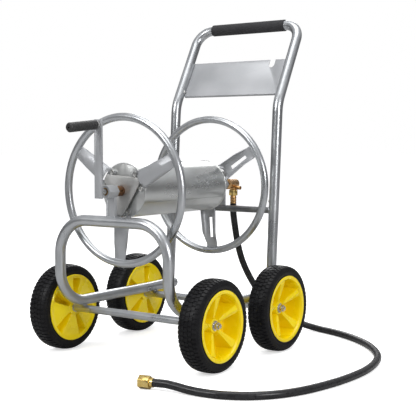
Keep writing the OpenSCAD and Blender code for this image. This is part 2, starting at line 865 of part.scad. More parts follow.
module crank_pin() {
    color(zinc) at_pin() {
        translate([0, 0, 0.9]) hex_bar(collar_af, collar_t - 1);
        translate([0, 0, -arm_t - 9]) cylinder(h = arm_t + 9 + grip_start + crank_grip_len - 6, r = pin_r);
    }
}

module crank_pin_nut() {
    color(zinc) at_pin() translate([0, 0, -arm_t - 8]) difference() {
        hex_bar(16, 7);
        translate([0, 0, -1]) cylinder(h = 9, r = pin_r + 0.05);
    }
}

// Ribbed grip that turns on the pin, with a small vent hole in its end
module crank_grip() {
    ribs = 9;
    pitch = crank_grip_len / (ribs + 1);
    r = crank_grip_d / 2;
    outline = [
        [pin_r + 0.07, 0], [r - 1.5, 0], [r, 2],
        for (i = [1 : ribs]) each [[r, i * pitch - 1.4], [r - 1, i * pitch], [r, i * pitch + 1.4]],
        [r, crank_grip_len - 4], [r - 3, crank_grip_len], [2.5, crank_grip_len],
        [2.5, crank_grip_len - 4], [pin_r + 0.07, crank_grip_len - 4]
    ];
    color(rubber) at_pin() translate([0, 0, grip_start]) rotate_extrude() polygon(outline);
}

// ---- wheels ----

// Frame of a wheel: z is the axle, pointing out of the cart, x to the rear
module at_wheel(side, y) {
    mirror([side < 0 ? 1 : 0, 0, 0]) translate([track / 2, y, axle_z]) rotate([90, 0, 90])
        children();
}

module tyre(side, y) {
    half = tyre_w / 2;
    shoulder = 13;
    corner = [for (a = [0 : 15 : 90]) [cos(a), sin(a)]];
    outer = [for (c = corner) [axle_z - shoulder + shoulder * c[0], half - shoulder + shoulder * c[1]]];
    upper = concat(outer, [[rim_r + 4, half], [barrel_r + 0.2, half - 3]]);
    outline = concat(upper, [for (i = [len(upper) - 1 : -1 : 0]) [upper[i][0], -upper[i][1]]]);
    color(rubber) at_wheel(side, y) rotate_extrude($fn = 96) polygon(outline);
}

// Rim with a lip each side, a long hub, a deep dish near its inner side and hollow wedge spokes that
// stand up from the dish
module rim(side, y) {
    lip_t = lip_out - tyre_w / 2 - 0.3;
    wall_r = barrel_r - 4;
    hub_top_r = 19;
    hub_foot_r = 23;
    outline = [
        [hub_bore_r, hub_out], [hub_top_r, hub_out], [hub_foot_r, -30], [wall_r - 2, -27],
        [wall_r, lip_out], [rim_r, lip_out], [rim_r, lip_out - lip_t],
        [barrel_r, lip_out - lip_t], [barrel_r, -tyre_w / 2 - 0.3], [rim_r, -tyre_w / 2 - 0.3],
        [rim_r, -lip_in], [wall_r, -lip_in], [wall_r - 2, -33], [hub_foot_r + 2, -36],
        [hub_foot_r, -hub_in], [hub_bore_r, -hub_in]
    ];
    color(yellow) at_wheel(side, y) difference() {
        union() {
            rotate_extrude($fn = 96) polygon(outline);
            at_rim_spokes() rim_wedge(hub_bore_r + 8, wall_r + 1, 0);
        }
        at_rim_spokes() rim_wedge(hub_foot_r + 6, wall_r - 5, 3);
    }
}

module at_rim_spokes() {
    for (i = [0 : rim_spokes - 1]) rotate([0, 0, 100 + i * 360 / rim_spokes]) children();
}

// Wedge that widens and rises from the hub to the rim; inset shrinks it to the hollow behind it
module rim_wedge(from, to, inset) {
    low = inset > 0 ? -hub_in - 1 : -31;
    intersection() {
        translate([0, 0, low]) linear_extrude(2 * tyre_w) polygon([
            [from, inset - 5], [to, inset - 13.5], [to, 13.5 - inset], [from, 5 - inset]
        ]);
        rotate([90, 0, 0]) translate([0, 0, -tyre_w / 2]) linear_extrude(tyre_w) polygon([
            [from - 1, low], [to + 1, low], [to + 1, 19.5 - inset], [from - 1, 3.5 - inset]
        ]);
    }
}

module tyre_front_right() { tyre(1, front_axle_y); }
module tyre_rear_right() { tyre(1, rear_axle_y); }
module tyre_front_left() { tyre(-1, front_axle_y); }
module tyre_rear_left() { tyre(-1, rear_axle_y); }
module rim_front_right() { rim(1, front_axle_y); }
module rim_rear_right() { rim(1, rear_axle_y); }
module rim_front_left() { rim(-1, front_axle_y); }
module rim_rear_left() { rim(-1, rear_axle_y); }

base_frame();
front_axle_tube();
rear_axle_tube();
left_rear_post();
right_rear_post();
rear_crossbar();
left_upright();
right_upright();
handle_bar();
nozzle_plate();
handle_grip();
joint_screws();
front_bearing_post();
rear_bearing_post();
front_bush();
rear_bush();
axle_sleeves();
front_axle();
rear_axle();
axle_washers();
axle_nuts();
swivel_elbow();
swivel_seal();
inlet_nut();
inlet_ferrule();
inlet_hose();
hose_tail();
coupling_nut();
coupling_washer();
drum_shell();
front_drum_end();
rear_drum_end();
front_hub_plate();
rear_hub_plate();
front_ring();
rear_ring();
front_spoke_1();
front_spoke_2();
front_spoke_3();
rear_spoke_1();
rear_spoke_2();
rear_spoke_3();
spoke_bolts();
reel_shaft();
shaft_collar();
water_pipe();
outlet_fitting();
crank_arm();
crank_pin();
crank_pin_nut();
crank_grip();
tyre_front_right();
tyre_rear_right();
tyre_front_left();
tyre_rear_left();
rim_front_right();
rim_rear_right();
rim_front_left();
rim_rear_left();
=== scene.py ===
import math

import bmesh
import bpy
from mathutils import Matrix, Vector


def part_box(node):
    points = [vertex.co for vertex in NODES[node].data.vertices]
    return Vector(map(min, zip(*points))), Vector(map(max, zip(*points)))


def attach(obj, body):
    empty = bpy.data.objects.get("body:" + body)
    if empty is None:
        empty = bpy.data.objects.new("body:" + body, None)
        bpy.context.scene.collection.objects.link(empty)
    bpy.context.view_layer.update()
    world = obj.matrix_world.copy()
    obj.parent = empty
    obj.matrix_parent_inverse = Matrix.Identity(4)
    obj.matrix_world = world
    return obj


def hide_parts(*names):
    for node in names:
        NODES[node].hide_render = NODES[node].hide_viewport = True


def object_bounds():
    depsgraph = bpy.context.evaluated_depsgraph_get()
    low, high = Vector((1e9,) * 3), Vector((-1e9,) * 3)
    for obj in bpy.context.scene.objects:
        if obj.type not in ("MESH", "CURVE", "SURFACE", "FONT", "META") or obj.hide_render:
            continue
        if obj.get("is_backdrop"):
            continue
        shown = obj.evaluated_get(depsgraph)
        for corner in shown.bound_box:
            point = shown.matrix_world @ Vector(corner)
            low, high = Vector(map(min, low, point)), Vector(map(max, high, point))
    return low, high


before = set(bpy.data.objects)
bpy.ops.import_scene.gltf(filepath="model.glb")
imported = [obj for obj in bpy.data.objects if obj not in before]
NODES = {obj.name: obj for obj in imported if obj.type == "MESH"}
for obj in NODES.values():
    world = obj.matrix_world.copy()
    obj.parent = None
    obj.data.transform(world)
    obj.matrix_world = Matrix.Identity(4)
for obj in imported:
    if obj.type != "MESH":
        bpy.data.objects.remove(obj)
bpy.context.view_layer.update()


# ---- camera ----
# It stands low at the cart's front right corner, a little above the height of the push handle's
# middle, as a product picture is taken.
camera_data = bpy.data.cameras.new("camera")
camera = bpy.data.objects.new("camera", camera_data)
bpy.context.scene.collection.objects.link(camera)
bpy.context.scene.camera = camera
camera.location = (1.7285, -2.2802, 0.6208)
camera.rotation_euler = (math.radians(86.05), 0, math.radians(35.0))
camera_data.lens = 83.4
camera_data.clip_end = 200
bpy.context.scene.view_settings.view_transform = "Standard"


# ---- leader hose ----
# A smooth black rubber garden hose, 21 mm outside, that feeds the reel. It drops from the brass
# swivel behind the cart, reaches the ground and lies in one wide curve round to the front.
MM = 0.001


def finish(name, dark, light, rough, metallic=0.0, grain=(25, 25, 25), grit=700, relief=0.08, coat=0.0,
           shine=0.5):
    """A finish that drifts in colour and gloss over the piece and has a fine relief, because paint,
    plate and moulded rubber are never perfectly even."""
    material = bpy.data.materials.new(name)
    material.use_nodes = True
    nodes, links = material.node_tree.nodes, material.node_tree.links
    shader = nodes["Principled BSDF"]
    shader.inputs["Metallic"].default_value = metallic
    shader.inputs["Specular IOR Level"].default_value = shine
    shader.inputs["Coat Weight"].default_value = coat
    shader.inputs["Coat Roughness"].default_value = 0.15
    place = nodes.new("ShaderNodeTexCoord")
    stretch = nodes.new("ShaderNodeMapping")
    stretch.inputs["Scale"].default_value = grain
    links.new(place.outputs["Object"], stretch.inputs["Vector"])
    drift = nodes.new("ShaderNodeTexNoise")
    drift.inputs["Scale"].default_value = 1.0
    drift.inputs["Detail"].default_value = 6
    links.new(stretch.outputs["Vector"], drift.inputs["Vector"])
    tone = nodes.new("ShaderNodeValToRGB")
    tone.color_ramp.elements[0].position = 0.3
    tone.color_ramp.elements[0].color = (*dark, 1)
    tone.color_ramp.elements[1].position = 0.7
    tone.color_ramp.elements[1].color = (*light, 1)
    links.new(drift.outputs["Fac"], tone.inputs["Fac"])
    links.new(tone.outputs["Color"], shader.inputs["Base Color"])
    gloss = nodes.new("ShaderNodeMapRange")
    gloss.inputs["From Min"].default_value = 0.3
    gloss.inputs["From Max"].default_value = 0.7
    gloss.inputs["To Min"].default_value = rough[0]
    gloss.inputs["To Max"].default_value = rough[1]
    links.new(drift.outputs["Fac"], gloss.inputs["Value"])
    links.new(gloss.outputs["Result"], shader.inputs["Roughness"])
    speck = nodes.new("ShaderNodeTexNoise")
    speck.inputs["Scale"].default_value = grit
    speck.inputs["Detail"].default_value = 3
    links.new(place.outputs["Object"], speck.inputs["Vector"])
    bump = nodes.new("ShaderNodeBump")
    bump.inputs["Strength"].default_value = relief
    bump.inputs["Distance"].default_value = 0.0004
    links.new(speck.outputs["Fac"], bump.inputs["Height"])
    links.new(bump.outputs["Normal"], shader.inputs["Normal"])
    return material


def wear(piece, material):
    piece.data.materials.clear()
    piece.data.materials.append(material)


hose_black = finish("hose_rubber", (0.010, 0.010, 0.011), (0.020, 0.020, 0.022), (0.22, 0.34),
                    grain=(60, 60, 60), shine=0.35)
tyre_low, tyre_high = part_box("tyre_front_right")
rear_low, rear_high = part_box("tyre_rear_right")
middle_y = (tyre_low.y + tyre_high.y + rear_low.y + rear_high.y) / 4
HOSE_ROUTE = [
    (0, 0.335, 0.419), (0, 0.335, 0.392), (0.003, 0.340, 0.348), (0.009, 0.348, 0.290),
    (0.018, 0.362, 0.232), (0.033, 0.386, 0.174), (0.055, 0.412, 0.122), (0.086, 0.440, 0.076),
    (0.127, 0.464, 0.042), (0.178, 0.478, 0.021), (0.235, 0.478, 0.012), (0.290, 0.463, 0.0108),
    (0.345, 0.440, 0.0108), (0.398, 0.409, 0.0108), (0.449, 0.371, 0.0108),
    (0.496, 0.326, 0.0108), (0.540, 0.270, 0.0108), (0.577, 0.206, 0.0108),
    (0.604, 0.125, 0.0108), (0.618, 0.035, 0.0108), (0.617, -0.060, 0.0108),
    (0.606, -0.145, 0.0108), (0.585, -0.230, 0.0108), (0.552, -0.300, 0.0108),
    (0.505, -0.352, 0.0108), (0.450, -0.383, 0.0108), (0.400, -0.394, 0.0108),
    (0.355, -0.398, 0.0125), (0.316, -0.399, 0.016), (0.286, -0.401, 0.0182),
    (0.254, -0.409, 0.0182)
]
HOSE_R = 10.5 * MM
HOSE_STEPS = 6
route = [Vector((x, middle_y + y, z)) for x, y, z in HOSE_ROUTE]


def smooth_path(points, steps):
    """Points along the curve that passes smoothly through all of the points given."""
    path = []
    padded = [points[0], *points, points[-1]]
    for a, b, c, d in zip(padded, padded[1:], padded[2:], padded[3:]):
        for k in range(steps):
            t = k / steps
            path.append(b + t * (c - a) / 2 + t * t * (2 * a - 5 * b + 4 * c - d) / 2
                        + t ** 3 * (3 * b - a - 3 * c + d) / 2)
    return [*path, points[-1]]


def rod_curve(name, paths, radius, closed=False, swell=None):
    """Round bars of one radius along the given paths, as one curve object."""
    curve = bpy.data.curves.new(name, "CURVE")
    curve.dimensions = "3D"
    curve.bevel_depth = radius
    curve.bevel_resolution = 4
    curve.use_fill_caps = not closed
    for path in paths:
        spline = curve.splines.new("POLY")
        spline.points.add(len(path) - 1)
        for k, (point, place) in enumerate(zip(spline.points, path)):
            point.co = (*place, 1)
            point.radius = swell(k) if swell else 1.0
        spline.use_cyclic_u = closed
        spline.use_smooth = True
    piece = bpy.data.objects.new(name, curve)
    bpy.context.scene.collection.objects.link(piece)
    return piece


hose_path = smooth_path(route, HOSE_STEPS)
hose = rod_curve("leader_hose", [hose_path], HOSE_R)
hose.data.bevel_resolution = 8
wear(hose, hose_black)
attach(hose, "root")
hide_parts("inlet_hose")


# ---- floor and lights ----
# A plain white studio floor and a bright, even sky of soft light. The sky is darker to the sides
# than overhead, so that bright metal shows soft bands.
FLOOR_R = 40
FLOOR_GLOW = 0.55
floor_mesh = bpy.data.meshes.new("floor")
floor_bm = bmesh.new()
bmesh.ops.create_circle(floor_bm, cap_ends=True, segments=64, radius=FLOOR_R)
floor_bm.to_mesh(floor_mesh)
floor_bm.free()
floor = bpy.data.objects.new("floor", floor_mesh)
bpy.context.scene.collection.objects.link(floor)
floor_finish = bpy.data.materials.new("floor_white")
floor_finish.use_nodes = True
floor_tree = floor_finish.node_tree
floor_shader = floor_tree.nodes["Principled BSDF"]
floor_shader.inputs["Base Color"].default_value = (0.93, 0.93, 0.93, 1)
floor_shader.inputs["Roughness"].default_value = 0.9
floor_shader.inputs["Specular IOR Level"].default_value = 0.1
floor_shader.inputs["Emission Color"].default_value = (1, 1, 1, 1)
floor_shader.inputs["Emission Strength"].default_value = FLOOR_GLOW
floor_dull = floor_tree.nodes.new("ShaderNodeBsdfDiffuse")
floor_dull.inputs["Color"].default_value = (0.5, 0.5, 0.5, 1)
floor_ray = floor_tree.nodes.new("ShaderNodeLightPath")
floor_choice = floor_tree.nodes.new("ShaderNodeMixShader")
floor_tree.links.new(floor_ray.outputs["Is Camera Ray"], floor_choice.inputs["Fac"])
floor_tree.links.new(floor_dull.outputs["BSDF"], floor_choice.inputs[1])
floor_tree.links.new(floor_shader.outputs["BSDF"], floor_choice.inputs[2])
floor_tree.links.new(floor_choice.outputs["Shader"], floor_tree.nodes["Material Output"].inputs["Surface"])
wear(floor, floor_finish)
floor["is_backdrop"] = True

world = bpy.data.worlds.new("studio")
world.use_nodes = True
bpy.context.scene.world = world
sky = world.node_tree
backdrop = sky.nodes["Background"]
backdrop.inputs["Color"].default_value = (1, 1, 1, 1)
backdrop.inputs["Strength"].default_value = 1.0
around = sky.nodes.new("ShaderNodeBackground")
heading = sky.nodes.new("ShaderNodeTexCoord")
height = sky.nodes.new("ShaderNodeSeparateXYZ")
sky.links.new(heading.outputs["Generated"], height.inputs["Vector"])
bands = sky.nodes.new("ShaderNodeValToRGB")
# How far up the sky each band lies, from 0 straight down to 1 overhead, and how bright it is
SKY_BANDS = [(0.44, 0.30), (0.52, 0.16), (0.60, 0.24), (0.72, 0.62), (0.95, 0.70)]
bands.color_ramp.elements.remove(bands.color_ramp.elements[1])
for k, (place, tone) in enumerate(SKY_BANDS):
    stop = bands.color_ramp.elements[0] if k == 0 else bands.color_ramp.elements.new(place)
    stop.position = place
    stop.color = (tone, tone, tone * 1.02, 1)
lift = sky.nodes.new("ShaderNodeMapRange")
lift.inputs["From Min"].default_value = -1
lift.inputs["From Max"].default_value = 1
sky.links.new(height.outputs["Z"], lift.inputs["Value"])
sky.links.new(lift.outputs["Result"], bands.inputs["Fac"])
sky.links.new(bands.outputs["Color"], around.inputs["Color"])
around.inputs["Strength"].default_value = 0.85
ray = sky.nodes.new("ShaderNodeLightPath")
choose = sky.nodes.new("ShaderNodeMixShader")
sky.links.new(ray.outputs["Is Camera Ray"], choose.inputs["Fac"])
sky.links.new(around.outputs["Background"], choose.inputs[1])
sky.links.new(backdrop.outputs["Background"], choose.inputs[2])
sky.links.new(choose.outputs["Shader"], sky.nodes["World Output"].inputs["Surface"])


def softbox(name, place, aim, size, power):
    """A square studio light at place that faces aim."""
    data = bpy.data.lights.new(name, "AREA")
    data.size = size
    data.energy = power
    lamp = bpy.data.objects.new(name, data)
    lamp.location = place
    lamp.rotation_euler = (Vector(aim) - Vector(place)).to_track_quat("-Z", "Y").to_euler()
    bpy.context.scene.collection.objects.link(lamp)


softbox("key_light", (-1.0, -3.2, 2.4), (0, 0, 0.4), 1.3, 48)
softbox("fill_light", (3.2, -1.2, 1.5), (0, 0, 0.3), 1.1, 44)
softbox("back_light", (-1.6, 3.0, 2.4), (0, 0, 0.5), 1.6, 36)
softbox("top_light", (0.4, -0.4, 4.2), (0.2, 0, 0), 3.4, 90)


def wear_nodes(material, *names):
    for name in names:
        wear(NODES[name], material)


silver = finish("frame_silver", (0.42, 0.435, 0.45), (0.52, 0.535, 0.55), (0.25, 0.34), metallic=0.92,
                grain=(14, 14, 9), grit=1300, relief=0.05)
# The rear crossbar is the same silver steel as the frame, but it is given a much darker grey: painted shade
# that stands in for the drum's shadow falling on it.
crossbar_shade_paint = finish("crossbar_painted_shade", (0.17, 0.175, 0.18), (0.24, 0.245, 0.25), (0.30, 0.40), metallic=0.85)
wear_nodes(silver, "base_frame", "front_axle_tube", "rear_axle_tube", "left_rear_post",
           "right_rear_post", "left_upright", "right_upright", "handle_bar")
wear_nodes(crossbar_shade_paint, "rear_crossbar")


# ---- weld seams ----
# Every joint of the frame and the reel is closed by a MIG weld, a bead of small ripples that runs
# round the foot of the tube or bar and is painted over with it.
BEAD_R = 1.9 * MM


def ripple(k):
    """How much thicker or thinner the bead is at its point k."""
    return 1.0 + 0.22 * math.sin(k * 2.1)


def saddle(centre, along, up, post_r, rail_r, count=44):
    """Closed seam where a post of radius post_r, rising along up, meets a rail that runs along."""
    across = up.cross(along).normalized()
    points = []
    for k in range(count):
        turn = 2 * math.pi * k / count
        side = post_r * math.sin(turn)
        lift_by = math.sqrt(max(rail_r ** 2 - side ** 2, 0))
        points.append(centre + along * post_r * math.cos(turn) + across * side + up * lift_by)
    return points


def along_line(corners, step=1.3 * MM):
    """Points every step along the straight runs between the corners."""
    points = []
    for a, b in zip(corners, corners[1:]):
        count = max(round((b - a).length / step), 1)
        points += [a.lerp(b, k / count) for k in range(count)]
    return [*points, corners[-1]]


X, Y = Vector((1, 0, 0)), Vector((0, 1, 0))
frame_low, frame_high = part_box("base_frame")
TUBE_R = 15.5 * MM
POST_LEAN = math.radians(3.8)
AXLE_SEAM_R, AXLE_SEAM_STEPS = 7 * MM, 30
FOOT_BACK = 0.249
post_up = Vector((0, math.sin(POST_LEAN), math.cos(POST_LEAN)))
rail_x = frame_high.x - TUBE_R
rail_z = frame_low.z + TUBE_R
foot_y = middle_y + FOOT_BACK
bar_low, bar_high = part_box("rear_crossbar")
bar_at = (bar_low + bar_high) / 2
bar_r = (bar_high.z - bar_low.z) / 2
frame_seams = []
for side in (-1, 1):
    foot = Vector((side * rail_x, foot_y, rail_z))
    frame_seams.append(saddle(foot, Y, post_up, TUBE_R, TUBE_R * 1.02))
    bar_end = Vector((side * rail_x, bar_at.y, bar_at.z))
    frame_seams.append(saddle(bar_end, post_up, -side * X, bar_r, TUBE_R))
    for node in ("front_axle_tube", "rear_axle_tube"):
        axle_low, axle_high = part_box(node)
        touch_z = (axle_high.z + rail_z - TUBE_R) / 2
        touch = Vector((side * rail_x, (axle_low.y + axle_high.y) / 2, touch_z))
        turns = [2 * math.pi * k / AXLE_SEAM_STEPS for k in range(AXLE_SEAM_STEPS)]
        frame_seams.append([touch + AXLE_SEAM_R * (X * math.cos(turn) + Y * math.sin(turn))
                            for turn in turns])
arch_y = frame_low.y + TUBE_R
arch_top = frame_high.z
post_half_x, post_half_y = 13 * MM, 5 * MM
CROWN_HALF, HOUSING_HALF = 9 * MM, 16.5 * MM
post_foot = arch_top - TUBE_R + math.sqrt(TUBE_R ** 2 - post_half_y ** 2)
foot_corners = [Vector((a * post_half_x, arch_y + b * post_half_y, post_foot))
                for a, b in ((-1, -1), (1, -1), (1, 1), (-1, 1), (-1, -1))]
frame_seams.append(along_line(foot_corners)[:-1])
welds = rod_curve("frame_welds", frame_seams, BEAD_R, closed=True, swell=ripple)
bearing_z = (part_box("reel_shaft")[0].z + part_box("reel_shaft")[1].z) / 2
post_top = bearing_z - HOUSING_HALF
post_runs = [along_line([Vector((-post_half_x, arch_y - post_half_y, post_foot)),
                         Vector((-post_half_x, arch_y - post_half_y, post_top))])]
for hand in (-1, 1):
    post_runs.append(along_line([Vector((-CROWN_HALF, arch_y + hand * post_half_y, post_top)),
                                 Vector((CROWN_HALF, arch_y + hand * post_half_y, post_top))]))
post_welds = rod_curve("post_welds", post_runs, BEAD_R * 1.2, swell=ripple)
for piece in (welds, post_welds):
    wear(piece, silver)
    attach(piece, "root")


# ---- pressed and machined parts ----
# Flat bars, folded sheet and turned parts come from the CAD model. Their edges are broken by a
# small radius, as deburring and paint leave them.
def softened(node, body, material, radius=0.6 * MM, segments=2):
    """A copy of a CAD node whose sharp edges are rounded; it stands for the node."""
    bm = bmesh.new()
    bm.from_mesh(NODES[node].data)
    bmesh.ops.remove_doubles(bm, verts=bm.verts, dist=2e-6)
    bmesh.ops.recalc_face_normals(bm, faces=bm.faces)
    for face in bm.faces:
        face.smooth = True
    mesh = bpy.data.meshes.new(node + "_finished")
    bm.to_mesh(mesh)
    bm.free()
    piece = bpy.data.objects.new(node + "_finished", mesh)
    bpy.context.scene.collection.objects.link(piece)
    edge = piece.modifiers.new("edges", "BEVEL")
    edge.width = radius
    edge.segments = segments
    edge.limit_method = "ANGLE"
    edge.angle_limit = math.radians(40)
    edge.harden_normals = True
    wear(piece, material)
    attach(piece, body)
    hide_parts(node)
    return piece


plate_silver = finish("plate_silver", (0.38, 0.39, 0.405), (0.46, 0.47, 0.485), (0.42, 0.50), metallic=0.55,
                      grain=(9, 9, 9), grit=1100, relief=0.06)
zinc = finish("bright_zinc", (0.55, 0.55, 0.53), (0.74, 0.74, 0.72), (0.18, 0.32), metallic=1.0,
              grain=(160, 160, 160), grit=1600, relief=0.10)
softened("nozzle_plate", "root", plate_silver)
softened("front_bearing_post", "root", plate_silver)
softened("rear_bearing_post", "root", plate_silver)
softened("crank_arm", "reel", plate_silver)
raw_plate = finish("raw_plate", (0.42, 0.42, 0.41), (0.52, 0.52, 0.51), (0.34, 0.46), metallic=0.55,
                   grain=(40, 40, 40), grit=900, relief=0.12)
for name in ("front_hub_plate", "rear_hub_plate"):
    softened(name, "reel", raw_plate)
for name in ("spoke_bolts", "crank_pin", "crank_pin_nut"):
    softened(name, "reel", zinc)
for name in ("joint_screws", "axle_nuts", "axle_washers", "front_axle", "rear_axle"):
    softened(name, "root", zinc)
wear_nodes(zinc, "axle_sleeves")


# ---- spokes ----
# Six arms pressed from 2 mm sheet hold the hoops. Each has two flat feet bolted to the drum's end,
# rises as a rounded trough beside the hub plate and flattens out where it is welded to its hoop. The
# rear three have a long slot that the hose's first turn is tied through.
def smooth_faces(mesh, sharp_angle=35):
    """Shades the mesh smooth, but keeps edges that turn by more than the angle crisp."""
    bm = bmesh.new()
    bm.from_mesh(mesh)
    for face in bm.faces:
        face.smooth = True
    for edge in bm.edges:
        edge.smooth = len(edge.link_faces) == 2 and edge.calc_face_angle() < math.radians(sharp_angle)
    bm.to_mesh(mesh)
    bm.free()


def make_piece(name, bm, matrix, body, material, sharp_angle=35):
    """Puts a drawn shape in its place by matrix and makes it a piece that rides on the body."""
    bm.transform(matrix)
    mesh = bpy.data.meshes.new(name)
    bm.to_mesh(mesh)
    bm.free()
    smooth_faces(mesh, sharp_angle)
    piece = bpy.data.objects.new(name, mesh)
    bpy.context.scene.collection.objects.link(piece)
    wear(piece, material)
    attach(piece, body)
    return piece


RING_R = 11 * MM
FOOT_IN, ARCH_IN = 50 * MM, 71 * MM
FOOT_INNER = 14.5 * MM
SLOT_FROM, SLOT_TO, SLOT_HALF = 100 * MM, 163 * MM, 5 * MM
ARM_T = 2 * MM
FLAT_RUN, FLAT_SKEW, FLAT_OVER = 34 * MM, 14 * MM, 36 * MM
front_hoop, rear_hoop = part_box("front_ring"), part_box("rear_ring")
hoop_r = (front_hoop[1].x - front_hoop[0].x) / 2 - RING_R
ARM_OUT = hoop_r - RING_R + 1.0 * MM


def mix(a, b, t):
    """The value t of the way from a to b, and no further than either."""
    return a + (b - a) * min(max(t, 0), 1)


def arm_mesh(base, rise, slotted):
    """One arm along x, with z pointing away from the drum and z = 0 in the hoop's plane."""
    bm = bmesh.new()
    bmesh.ops.create_grid(bm, x_segments=60, y_segments=26, size=0.5)
    for v in bm.verts:
        share = v.co.x + 0.5
        radius = FOOT_IN + share * (ARM_OUT - FOOT_IN)
        turn = math.pi * (v.co.y + 0.5)
        half = mix(27, 18.5, share) * MM
        off = -half * math.cos(turn)
        flat = mix(0, 1, (radius - ARM_OUT + FLAT_RUN + FLAT_SKEW * abs(off) / half) / FLAT_OVER)
        raised = 1 if abs(off) < FOOT_INNER else mix(0, 1, (radius - ARCH_IN + 3 * MM) / (10 * MM))
        crown = mix(rise - 1 * MM, 1.2 * MM, flat) * math.sin(turn) ** 0.7
        foundation = mix(base, -1.5 * MM, flat) + ARM_T / 2
        v.co = (radius, off * mix(29 / 27, 1, raised), foundation + crown * raised)
    gone = []
    for face in bm.faces:
        middle = face.calc_center_median()
        at_foot = middle.x < ARCH_IN and abs(middle.y) < FOOT_INNER
        in_slot = slotted and SLOT_FROM < middle.x < SLOT_TO and abs(middle.y) < SLOT_HALF
        if at_foot or in_slot:
            gone.append(face)
    bmesh.ops.delete(bm, geom=gone, context="FACES")
    bmesh.ops.recalc_face_normals(bm, faces=bm.faces)
    if sum(face.normal.z for face in bm.faces) < 0:
        bmesh.ops.reverse_faces(bm, faces=bm.faces)
    return bm


def reel_place(hoop, angle, outward):
    """Places a drawing on the reel at an angle; its z looks away from the drum, along outward."""
    flip = Matrix.Scale(outward * -1, 4, Y)
    upright = Matrix.Rotation(math.pi / 2, 4, "X")
    turn = Matrix.Rotation(math.radians(angle), 4, "Z")
    return Matrix.Translation((hoop[0] + hoop[1]) / 2) @ flip @ upright @ turn


# Which end, its hoop, the arms' angles, the side it faces, the foot's height and the trough's rise
ARM_SETS = [("front", front_hoop, (26.5, 146.5, 266.5), -1, -4 * MM, 14 * MM),
            ("rear", rear_hoop, (33.5, 153.5, 273.5), 1, -18.7 * MM, 20 * MM)]
arm_seams = []
for end, hoop, angles, outward, base, rise in ARM_SETS:
    for number, angle in enumerate(angles, 1):
        bm = arm_mesh(base, rise, end == "rear")
        if outward > 0:
            bmesh.ops.reverse_faces(bm, faces=bm.faces)
        arm = make_piece(f"{end}_arm_{number}", bm, reel_place(hoop, angle, outward), "reel",
                         plate_silver, 50)
        sheet = arm.modifiers.new("sheet", "SOLIDIFY")
        sheet.thickness = ARM_T
        sheet.offset = 0
        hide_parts(f"{end}_spoke_{number}")
        for height in (1.8 * MM, -2.8 * MM):
            seam_at = Vector((hoop_r - 10.9 * MM, 0, height))
            arm_seams.append([reel_place(hoop, angle + k * 0.4, outward) @ seam_at for k in range(-13, 14)])
arm_welds = rod_curve("arm_welds", arm_seams, BEAD_R * 0.9, swell=ripple)
wear(arm_welds, silver)
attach(arm_welds, "reel")


# ---- reel ----
# Two hoops of bent tube hold the hose on a drum of galvanised sheet, rolled round with its edge
# lapped over and its ends hemmed. The shaft is bright bar in bronze bushes, with a dull bronze
# spacer behind the front bearing.
galvanised = finish("galvanised_sheet", (0.54, 0.55, 0.545), (0.70, 0.71, 0.70), (0.26, 0.38), metallic=0.9,
                    grain=(9, 3, 9), grit=1500, relief=0.02)
bright_bar = finish("bright_bar", (0.50, 0.50, 0.50), (0.64, 0.64, 0.63), (0.16, 0.28), metallic=1.0,
                    grain=(120, 20, 120))
bronze = finish("bush_bronze", (0.22, 0.14, 0.06), (0.34, 0.22, 0.10), (0.30, 0.44), metallic=0.9,
                grain=(200, 200, 200))
brown = finish("collar_bronze", (0.12, 0.06, 0.028), (0.22, 0.11, 0.05), (0.34, 0.50), metallic=0.8,
               grain=(150, 150, 150))
wear_nodes(silver, "front_ring", "rear_ring")
for name in ("front_drum_end", "rear_drum_end"):
    softened(name, "reel", galvanised, radius=0.3 * MM)
drum_low, drum_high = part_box("drum_shell")
drum_at = (drum_low + drum_high) / 2
drum_r = (drum_high.z - drum_low.z) / 2
drum_half = (drum_high.y - drum_low.y) / 2
branch_low, branch_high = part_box("outlet_fitting")
branch_y = (branch_low.y + branch_high.y) / 2 - drum_at.y
LAP_EDGE, LAP_OVER = math.radians(-25), math.radians(12)
SHEET_T, LAP_STEP = 0.9 * MM, 1.1 * MM
BRANCH_HOLE_R = 11 * MM
sheet_bm = bmesh.new()
bmesh.ops.create_grid(sheet_bm, x_segments=248, y_segments=66, size=0.5)
for v in sheet_bm.verts:
    part = v.co.x + 0.5
    turn = LAP_EDGE - (1 - part) * (2 * math.pi + LAP_OVER)
    reach = drum_r - SHEET_T / 2 - (1 - part) * LAP_STEP
    v.co = (reach * math.cos(turn), 2 * v.co.y * drum_half, reach * math.sin(turn))
branch_hole = []
for face in sheet_bm.faces:
    middle = face.calc_center_median()
    if middle.x < 0 and math.hypot(middle.y - branch_y, middle.z) < BRANCH_HOLE_R:
        branch_hole.append(face)
bmesh.ops.delete(sheet_bm, geom=branch_hole, context="FACES")
bmesh.ops.recalc_face_normals(sheet_bm, faces=sheet_bm.faces)
drum = make_piece("rolled_drum", sheet_bm, Matrix.Translation(drum_at), "reel", galvanised)
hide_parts("drum_shell")
rolled = drum.modifiers.new("sheet", "SOLIDIFY")
rolled.thickness = SHEET_T
rolled.offset = 0
HEM_STEPS = 96
HEM_R = 2.0 * MM
drum_hems = []
for hand in (-1, 1):
    hem_y = drum_at.y + hand * (drum_half - HEM_R * 1.1)
    turns = [2 * math.pi * k / HEM_STEPS for k in range(HEM_STEPS)]
    hem_at = Vector((drum_at.x, hem_y, drum_at.z))
    drum_hems.append([hem_at + drum_r * Vector((math.cos(turn), 0, math.sin(turn))) for turn in turns])
hems = rod_curve("drum_hems", drum_hems, HEM_R, closed=True)
wear(hems, galvanised)
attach(hems, "reel")
wear_nodes(bright_bar, "reel_shaft")
wear_nodes(bronze, "front_bush", "rear_bush")
softened("shaft_collar", "reel", brown)


